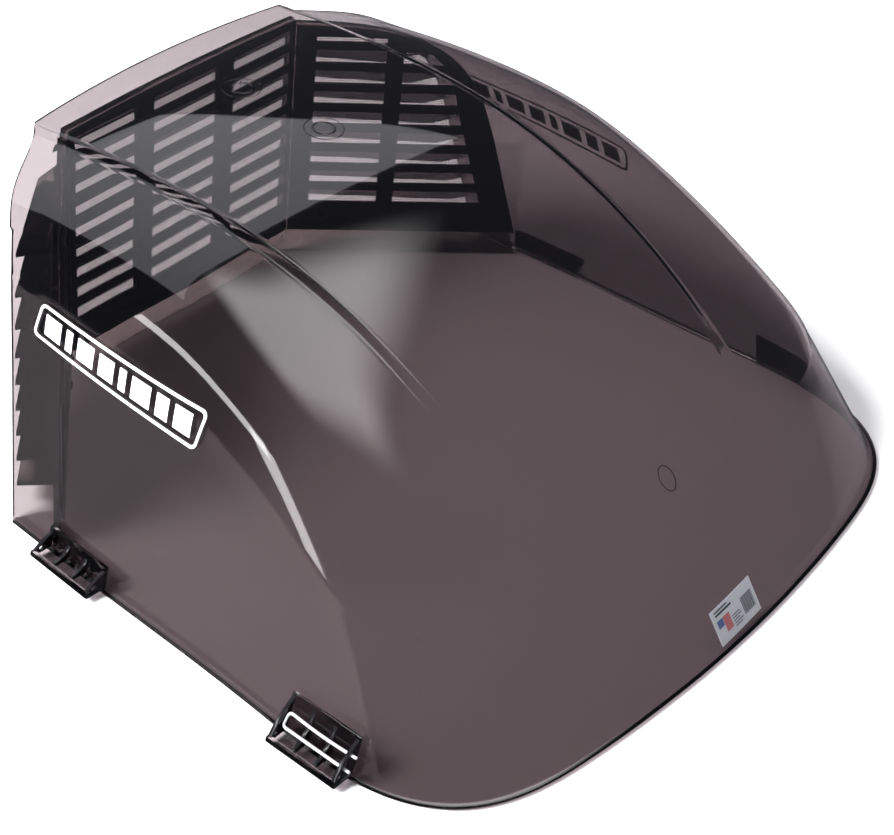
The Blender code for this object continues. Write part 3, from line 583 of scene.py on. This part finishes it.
# ---------------------------------------------------------------- side graphics, nose label, moulded rings
def wall_point(y, z):
    """The hood's outer side wall at the height z, for the station y from the nose."""
    t, q = (FACET_Y - y) / (FACET_Y - 57.0), 0.75
    at = lambda q, t: side_points(t, q)[0]
    for _ in range(10):
        p = at(q, t)
        e = np.array((p[2] - z, p[1] - y))
        pq, pt = at(q + 1e-4, t), at(q, t + 1e-4)
        dq = np.array((pq[2] - p[2], pq[1] - p[1])) / 1e-4
        dt = np.array((pt[2] - p[2], pt[1] - p[1])) / 1e-4
        step = np.linalg.solve(np.stack([dq, dt], 1), -e)
        q, t = q + step[0], t + step[1]
    return at(q, t)


DECAL_Y, DECAL_LEN, DECAL_LOW, DECAL_TALL = 255.5, 138.0, 122.5, 24.0
WALL_GRID = {}
for gi in range(-1, 30):
    for gj in range(-1, 8):
        u, v = gi / 28.0, gj / 6.0
        WALL_GRID[gi, gj] = wall_point(DECAL_Y + DECAL_LEN * u - 2.0 * v,
                                       DECAL_LOW + 5.0 * u + DECAL_TALL * v - 4.0 * u * v)


def decal_at(u, v):
    """Point and normal of the wall under the graphic's own coordinates."""
    x, y = u * 28.0, v * 6.0
    i, j = min(max(int(math.floor(x)), -1), 28), min(max(int(math.floor(y)), -1), 6)
    fx, fy = x - i, y - j
    a, b, c, d = WALL_GRID[i, j], WALL_GRID[i + 1, j], WALL_GRID[i, j + 1], WALL_GRID[i + 1, j + 1]
    p = a * (1 - fx) * (1 - fy) + b * fx * (1 - fy) + c * (1 - fx) * fy + d * fx * fy
    n = np.cross(b - a, c - a)
    n /= np.linalg.norm(n)
    return p, n if n[0] > 0 else -n


def slab(bm, rows, at, low, high, sign):
    """A thin closed plate over a grid of (u, v) points."""
    layers = []
    for off in (low, high):
        layer = []
        for row in rows:
            line = []
            for u, v in row:
                p, n = at(u, v)
                q = (p + n * off) * np.array([sign, 1.0, 1.0])
                line.append(bm.verts.new(to_m(q)))
            layer.append(line)
        layers.append(layer)
    lo, hi = layers
    nr, nc = len(rows), len(rows[0])
    for r in range(nr - 1):
        for c in range(nc - 1):
            bm.faces.new((hi[r][c], hi[r][c + 1], hi[r + 1][c + 1], hi[r + 1][c]))
            bm.faces.new((lo[r][c], lo[r + 1][c], lo[r + 1][c + 1], lo[r][c + 1]))
    ring = [(0, c) for c in range(nc)] + [(r, nc - 1) for r in range(1, nr)] + \
           [(nr - 1, c) for c in range(nc - 2, -1, -1)] + [(r, 0) for r in range(nr - 2, 0, -1)]
    for k in range(len(ring)):
        (r0, c0), (r1, c1) = ring[k], ring[(k + 1) % len(ring)]
        bm.faces.new((lo[r0][c0], lo[r1][c1], hi[r1][c1], hi[r0][c0]))


def band(bm, loop_out, loop_in, at, low, high, sign):
    """A thin closed frame between two matching loops of (u, v) points."""
    def ring(loop, off):
        out = []
        for u, v in loop:
            p, n = at(u, v)
            out.append(bm.verts.new(to_m((p + n * off) * np.array([sign, 1.0, 1.0]))))
        return out
    a0, a1, b0, b1 = ring(loop_out, low), ring(loop_out, high), ring(loop_in, low), ring(loop_in, high)
    n = len(a0)
    for k in range(n):
        j = (k + 1) % n
        bm.faces.new((a1[k], a1[j], b1[j], b1[k]))
        bm.faces.new((a0[k], b0[k], b0[j], a0[j]))
        bm.faces.new((a0[k], a0[j], a1[j], a1[k]))
        bm.faces.new((b0[k], b1[k], b1[j], b0[j]))


def round_box(u0, v0, u1, v1, ru, rv, along_u=24, along_v=4):
    pts = []
    corners = (((u1 - ru, v0 + rv), -90), ((u1 - ru, v1 - rv), 0), ((u0 + ru, v1 - rv), 90), ((u0 + ru, v0 + rv), 180))
    for k, ((cu, cv), a0) in enumerate(corners):
        for a in np.radians(np.linspace(a0, a0 + 90, 6)):
            pts.append((cu + ru * math.cos(a), cv + rv * math.sin(a)))
        (nu, nv), na = corners[(k + 1) % 4]
        start, end = pts[-1], (nu + ru * math.cos(math.radians(na)), nv + rv * math.sin(math.radians(na)))
        steps = along_u if k in (1, 3) else along_v
        for f in np.linspace(0, 1, steps + 1)[1:-1]:
            pts.append((start[0] + (end[0] - start[0]) * f, start[1] + (end[1] - start[1]) * f))
    return pts


BARS = ((0.055, 0.150), (0.185, 0.255), (0.290, 0.400), (0.435, 0.475), (0.510, 0.600), (0.635, 0.735), (0.770, 0.810),
        (0.845, 0.945))
for side, sign in (("left", -1.0), ("right", 1.0)):
    bm = bmesh.new()
    band(bm, round_box(0.0, 0.0, 1.0, 1.0, 0.03, 0.17), round_box(0.012, 0.075, 0.988, 0.925, 0.022, 0.125),
         decal_at, 0.5, 0.85, sign)
    for u0, u1 in BARS:
        lean = 0.035
        rows = []
        for v in np.linspace(0.22, 0.78, 5):
            rows.append([(u0 + (u1 - u0) * f + lean * (v - 0.5), v) for f in np.linspace(0, 1, 5)])
        slab(bm, rows, decal_at, 0.5, 0.85, sign)
    bmesh.ops.recalc_face_normals(bm, faces=bm.faces[:])
    obj = mesh_object(f"graphic_{side}", bm, [WHITE], None)
    obj.data.shade_flat()
    finish_piece(obj, "cover", [f"side_decal_{side}"])


def label_at(u, v):
    """The lower front skirt under the label's footprint."""
    x = -15.5 + 44.0 * u
    w = 0.985 - 0.255 * v - 0.02 * u
    f = along(BASE_CURVE, abs(x) / np.hypot(*np.diff(BASE_CURVE, axis=0).T).sum())
    top = np.array([abs(x), 57.0 + 4.5 * (abs(x) / 84.0) ** 2, 74.0])
    p = skirt_point(top, f, w)
    p[0] = x
    d = top - np.array([f[0], f[1], WALL])
    n = np.array([0.0, -d[2], d[1]])
    return p, n / np.linalg.norm(n)


def label_box(bm, u0, v0, u1, v1, low, high):
    rows = [[(u0 + (u1 - u0) * a, v0 + (v1 - v0) * b) for a in np.linspace(0, 1, max(2, int((u1 - u0) * 12)))]
            for b in (0.0, 1.0)]
    slab(bm, rows, label_at, low, high, 1.0)


bm = bmesh.new()
label_box(bm, 0.0, 0.0, 1.0, 1.0, 0.5, 0.8)
marks = {0: len(bm.faces)}
for k in range(5):                                   # lines of print, as plain strokes
    label_box(bm, 0.40, 0.16 + 0.075 * k, 0.40 + (0.17, 0.21, 0.14, 0.20, 0.18)[k], 0.185 + 0.075 * k, 0.8, 0.86)
label_box(bm, 0.08, 0.78, 0.46, 0.83, 0.8, 0.86)
label_box(bm, 0.08, 0.88, 0.38, 0.92, 0.8, 0.86)
x = 0.66
for k in range(15):                                  # upright bars of unequal width
    wide = (0.010, 0.006, 0.014, 0.006, 0.010)[k % 5]
    label_box(bm, x, 0.22, x + wide, 0.70, 0.8, 0.86)
    x += wide + (0.008, 0.012, 0.007)[k % 3]
marks[1] = len(bm.faces)
label_box(bm, 0.07, 0.44, 0.20, 0.66, 0.8, 0.86)     # two plain blocks of colour
marks[2] = len(bm.faces)
label_box(bm, 0.21, 0.22, 0.36, 0.66, 0.8, 0.86)
marks[3] = len(bm.faces)
bm.faces.ensure_lookup_table()
for k, face in enumerate(bm.faces):
    face.material_index = 0 if k < marks[0] else 1 if k < marks[1] else 2 if k < marks[2] else 3
bmesh.ops.recalc_face_normals(bm, faces=bm.faces[:])
label = mesh_object("label", bm, [SILVER, INK, INK_BLUE, INK_RED], None)
label.data.shade_flat()
finish_piece(label, "cover", ["barcode_label"])


def top_at(x, y):
    """Outer surface of the roof between the ridges and its normal."""
    def point(t, v):
        centre, ridge, _ = row_lines(t)
        p = centre + (ridge - centre) * v * v
        p[0] = ridge[0] * v
        return p
    t = (FACET_Y - y) / (FACET_Y - 57.0)
    v = 0.0
    for _ in range(6):
        centre, ridge, _ = row_lines(t)
        v = abs(x) / ridge[0]
        t -= (y - point(t, v)[1]) / (FACET_Y - 57.0)
    p = point(t, v)
    dt, dv = point(t + 1e-3, v) - p, point(t, v + 1e-3) - p
    n = np.cross(dt, dv)
    n /= np.linalg.norm(n)
    n = n if n[2] > 0 else -n
    m = np.array([1.0 if x >= 0 else -1.0, 1.0, 1.0])
    return p * m, n * m


def ring_on_top(bm, x0, y0, r, half, high):
    """A low rounded ring standing on the roof."""
    def loop(rr, off):
        out = []
        for a in np.linspace(0, 2 * math.pi, 65)[:-1]:
            p, n = top_at(x0 + rr * math.cos(a), y0 + rr * math.sin(a))
            out.append(bm.verts.new(to_m(p + n * off)))
        return out
    loops = [loop(r - half, -0.3), loop(r - half, high * 0.5), loop(r - half * 0.5, high), loop(r + half * 0.5, high),
             loop(r + half, high * 0.5), loop(r + half, -0.3)]
    for a, b in zip(loops, loops[1:] + loops[:1]):
        for k in range(64):
            j = (k + 1) % 64
            bm.faces.new((a[k], a[j], b[j], b[k]))


bm = bmesh.new()
for y0 in (420.0, 351.0):                            # plain moulded badges on the middle of the roof
    ring_on_top(bm, 0.0, y0, 7.0, 0.7, 0.35)
    ring_on_top(bm, 0.0, y0, 12.5, 0.35, 0.2)
ring_on_top(bm, 0.0, 71.0, 6.0, 0.25, 0.15)          # mark left by the mould's gate at the nose
bmesh.ops.recalc_face_normals(bm, faces=bm.faces[:])
finish_piece(mesh_object("moulded_rings", bm, [SMOKE], 60.0), "cover", ())


# ---------------------------------------------------------------- floor, light, camera
def stage_plane(name, size, z, mat):
    bm = bmesh.new()
    bmesh.ops.create_grid(bm, x_segments=1, y_segments=1, size=size)
    bmesh.ops.translate(bm, verts=bm.verts[:], vec=(0, 0, z))
    return mesh_object(name, bm, [mat], None)


floor_mat, floor_tree, floor_shader, _ = new_material("floor_white")
floor_shader.inputs["Base Color"].default_value = (0.88, 0.88, 0.88, 1)
floor_shader.inputs["Roughness"].default_value = 0.6
floor_shader.inputs["Specular IOR Level"].default_value = 0.2
floor = stage_plane("floor", 4.0, -0.0005, floor_mat)


def area_light(name, at, to, size_x, size_y, power, color=(1, 1, 1), mirrored=True):
    """A rectangular lamp; one that is not mirrored lights the scene without showing in reflections."""
    data = bpy.data.lights.new(name, "AREA")
    data.shape = "RECTANGLE"
    data.size, data.size_y = size_x, size_y
    data.energy = power
    data.color = color
    obj = bpy.data.objects.new(name, data)
    bpy.context.scene.collection.objects.link(obj)
    obj.location = at
    obj.rotation_mode = "QUATERNION"
    obj.rotation_quaternion = (Vector(at) - Vector(to)).to_track_quat("Z", "Y")
    obj.visible_glossy = mirrored
    obj.visible_transmission = mirrored
    return obj


def soft_edges(obj, edge):
    """The lamp's face fades towards its edges, like a box with a diffuser."""
    data = obj.data
    data.use_nodes = True
    tree = data.node_tree
    geometry = node(tree, "ShaderNodeNewGeometry")
    split = node(tree, "ShaderNodeSeparateXYZ")
    tree.links.new(geometry.outputs["Parametric"], split.inputs["Vector"])
    fades = []
    for axis in ("X", "Y"):
        off = node(tree, "ShaderNodeMath", _operation="SUBTRACT")
        off.inputs[1].default_value = 0.5
        away = node(tree, "ShaderNodeMath", _operation="ABSOLUTE")
        span = node(tree, "ShaderNodeMapRange", _interpolation_type="SMOOTHSTEP")
        for key, value in (("From Min", 0.5), ("From Max", 0.5 - edge), ("To Min", 0.0), ("To Max", 1.0)):
            span.inputs[key].default_value = value
        tree.links.new(split.outputs[axis], off.inputs[0])
        tree.links.new(off.outputs["Value"], away.inputs[0])
        tree.links.new(away.outputs["Value"], span.inputs["Value"])
        fades.append(span)
    both = node(tree, "ShaderNodeMath", _operation="MULTIPLY")
    tree.links.new(fades[0].outputs["Result"], both.inputs[0])
    tree.links.new(fades[1].outputs["Result"], both.inputs[1])
    tree.links.new(both.outputs["Value"], tree.nodes["Emission"].inputs["Strength"])


area_light("key", (-1.84, 1.06, 2.1), (0, 0, 0.0), 1.2, 1.2, 330, (1, 1, 1), False)
area_light("softbox_top", (0.68, 1.55, 1.6), (0.68, 1.55, 0.0), 2.16, 1.5, 12, (0.95, 0.97, 1.0))
near = area_light("softbox_near", (0.50, 0.02, 1.6), (0.50, 0.02, 0.0), 1.55, 1.15, 24)
soft_edges(near, 0.28)
near.rotation_mode = "XYZ"
near.rotation_euler = (0.0, 0.0, math.atan2(-0.84, -0.54))
area_light("softbox_left", (-1.85, 0.82, 1.02), (-0.2, 0.05, 0.13), 1.1, 0.22, 7)
area_light("softbox_strip", (-2.10, 0.36, 0.60), (-0.2, -0.05, 0.10), 0.16, 0.9, 4)
floor.visible_glossy = False

world = bpy.data.worlds.new("studio")
bpy.context.scene.world = world
world.use_nodes = True
room = world.node_tree.nodes["Background"]
room.inputs["Color"].default_value = (0.80, 0.86, 1.0, 1)
room.inputs["Strength"].default_value = 0.10
# a pale sweep behind the floor's edge, which does not light the object
sweep = node(world.node_tree, "ShaderNodeBackground", Color=(0.86, 0.87, 0.88, 1), Strength=0.85)
seen = node(world.node_tree, "ShaderNodeLightPath")
choose = node(world.node_tree, "ShaderNodeMixShader")
world.node_tree.links.new(seen.outputs["Is Camera Ray"], choose.inputs["Fac"])
world.node_tree.links.new(room.outputs["Background"], choose.inputs[1])
world.node_tree.links.new(sweep.outputs["Background"], choose.inputs[2])
world.node_tree.links.new(choose.outputs["Shader"], world.node_tree.nodes["World Output"].inputs["Surface"])

AZ, PITCH_DOWN, ROLL = math.radians(54.93), math.radians(38.41), math.radians(6.46)
fwd = Vector((math.sin(AZ) * math.cos(PITCH_DOWN), math.cos(AZ) * math.cos(PITCH_DOWN), -math.sin(PITCH_DOWN)))
right = Vector((math.cos(AZ), -math.sin(AZ), 0))
up = right.cross(fwd)
r2 = math.cos(ROLL) * right + math.sin(ROLL) * up
u2 = -math.sin(ROLL) * right + math.cos(ROLL) * up
cam_data = bpy.data.cameras.new("camera")
cam = bpy.data.objects.new("camera", cam_data)
bpy.context.scene.collection.objects.link(cam)
cam_data.sensor_width = 36.0
cam_data.lens = 2288.6 * 36.0 / 894.0
cam_data.clip_start, cam_data.clip_end = 0.05, 50.0
cam.matrix_world = Matrix(((r2.x, u2.x, -fwd.x, -0.9357), (r2.y, u2.y, -fwd.y, -0.4226 - 0.248),
                           (r2.z, u2.z, -fwd.z, 0.9464), (0, 0, 0, 1)))
bpy.context.scene.camera = cam

scene = bpy.context.scene
scene.view_settings.view_transform = "Standard"
scene.cycles.max_bounces = 24
scene.cycles.transmission_bounces = 20
scene.cycles.transparent_max_bounces = 32
